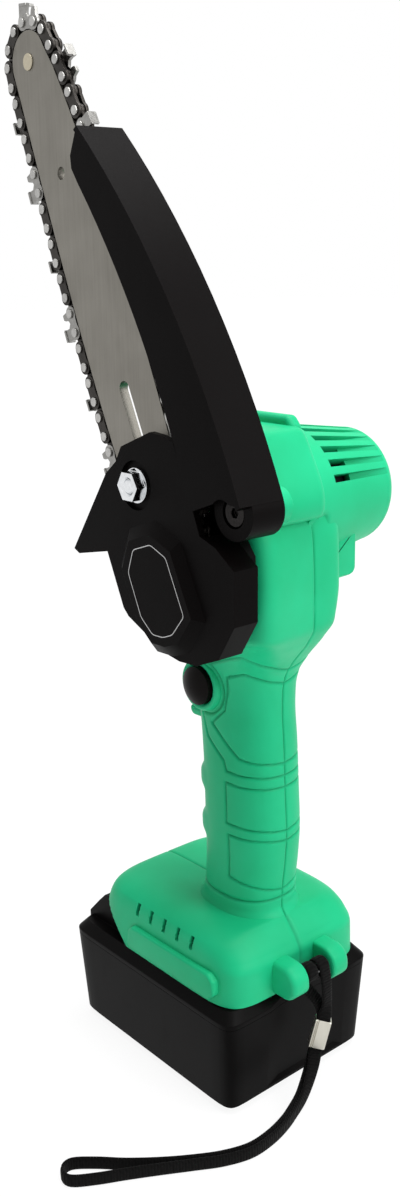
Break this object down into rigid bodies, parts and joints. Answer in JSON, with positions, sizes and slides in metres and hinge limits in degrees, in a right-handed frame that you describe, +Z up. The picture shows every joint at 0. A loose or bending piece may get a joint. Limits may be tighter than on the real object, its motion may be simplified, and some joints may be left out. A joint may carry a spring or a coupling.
{
  "type": "cordless pruning chainsaw",
  "caption": "One-handed cordless pruning chainsaw standing on its slide-on battery, with a short tapered bar, hinged chain guard, pistol grip, motor barrel and wrist strap.",
  "frame": {"origin": "centre of the battery's underside, which the saw stands on", "axes": "+Z up, -X towards the trigger side that the bar leans to, -Y towards the bar and its cover"},
  "size_m": [0.131, 0.1501, 0.3942],
  "materials": {
    "green_plastic": "satin moulded",
    "black_plastic": "satin moulded",
    "bar_steel": "ground",
    "chain_dark": "blackened",
    "cutter_steel": "plated",
    "rivet_steel": "polished",
    "nut_chrome": "plated",
    "steel": "machined",
    "beige_rivet": "peened",
    "zinc": "cast",
    "can": "plated",
    "magnet": "sintered",
    "copper": "wound wire on plates",
    "wire": "insulation",
    "cell_wrap": "shrink sleeve",
    "white_plastic": "moulded",
    "nickel": "sheet",
    "board": "laminate",
    "brass": "sheet",
    "webbing": "woven",
    "ferrule": "folded sheet"
  },
  "bodies": {
    "saw": {"left_housing": "green_plastic", "right_housing": "green_plastic", "housing_screws": "steel", "bar_mount": "black_plastic", "sprocket_cover": "black_plastic", "bar_stud": "nut_chrome", "bar_nut": "nut_chrome", "bar_left_plate": "bar_steel", "bar_core_plate": "bar_steel", "bar_right_plate": "bar_steel", "nose_rivet": "beige_rivet", "chain_drive_links": "chain_dark", "chain_tie_straps": "chain_dark", "chain_left_cutters": "cutter_steel", "chain_right_cutters": "cutter_steel", "chain_rivets": "rivet_steel", "front_bearing": "steel", "rear_bearing": "steel", "gear_case": "zinc", "motor_can": "can", "motor_end_bell": "black_plastic", "motor_magnets": "magnet", "motor_screws": "steel", "tension_screw": "steel", "tension_pin": "steel", "guard_screw": "chain_dark", "guard_spring": "steel", "trigger_spring": "steel", "lock_spring": "steel", "trigger_switch": "black_plastic", "supply_leads": "wire", "motor_leads": "wire", "terminal_block": "black_plastic", "terminal_blades": "brass", "strap_pin": "steel", "strap_ferrule": "ferrule", "wrist_strap": "webbing"},
    "drive": {"drive_sprocket": "chain_dark", "sprocket_clip": "steel", "output_spindle": "steel", "drive_gear": "steel"},
    "rotor": {"motor_pinion": "steel", "motor_armature": "copper", "motor_shaft": "steel", "motor_fan": "black_plastic"},
    "nose_wheel": {"nose_sprocket": "chain_dark"},
    "guard": {"chain_guard": "black_plastic"},
    "trigger": {"trigger": "black_plastic"},
    "lock": {"lock_button": "black_plastic"},
    "battery": {"battery_case": "black_plastic", "battery_lid": "black_plastic", "battery_screws": "steel", "latch_spring": "steel", "battery_cells": "cell_wrap", "cell_holder": "white_plastic", "cell_strips": "nickel", "battery_board": "board", "battery_contacts": "brass"},
    "latch": {"battery_latch": "black_plastic"}
  },
  "joints": [
    {"name": "drive_spin", "type": "hinge", "parent": "saw", "child": "drive", "pos_m": [0.0309, -0.038, 0.2035], "axis": [0, 1, 0], "continuous": true},
    {"name": "rotor_spin", "type": "hinge", "parent": "saw", "child": "rotor", "pos_m": [0.0275, 0, 0.2265], "axis": [0, 1, 0], "continuous": true},
    {"name": "nose_spin", "type": "hinge", "parent": "saw", "child": "nose_wheel", "pos_m": [-0.04599, -0.038, 0.37539], "axis": [0, 1, 0], "continuous": true},
    {"name": "guard_swing", "type": "hinge", "parent": "saw", "child": "guard", "pos_m": [0.0605, -0.0387, 0.2335], "axis": [0, 1, 0], "range_deg": [0, 70], "stiffness_Nm_per_rad": 0.05, "springref_deg": -17.19},
    {"name": "trigger_pull", "type": "slide", "parent": "saw", "child": "trigger", "axis": [1, 0, 0], "range_m": [0, 0.005], "stiffness_N_per_m": 600, "springref_m": -0.004, "deforming": ["trigger_spring"]},
    {"name": "lock_press", "type": "slide", "parent": "saw", "child": "lock", "axis": [0, 1, 0], "range_m": [0, 0.004], "stiffness_N_per_m": 400, "springref_m": -0.003, "deforming": ["lock_spring"]},
    {"name": "battery_slide", "type": "slide", "parent": "saw", "child": "battery", "axis": [-1, 0, 0], "range_m": [0, 0.1]},
    {"name": "latch_press", "type": "slide", "parent": "battery", "child": "latch", "axis": [0, 0, -1], "range_m": [0, 0.003], "stiffness_N_per_m": 600, "springref_m": -0.002, "deforming": ["latch_spring"]}
  ],
  "couplings": [
    {"joint": "rotor_spin", "follows": "drive_spin", "ratio": -3.8333},
    {"joint": "nose_spin", "follows": "drive_spin", "ratio": 0.9436}
  ]
}
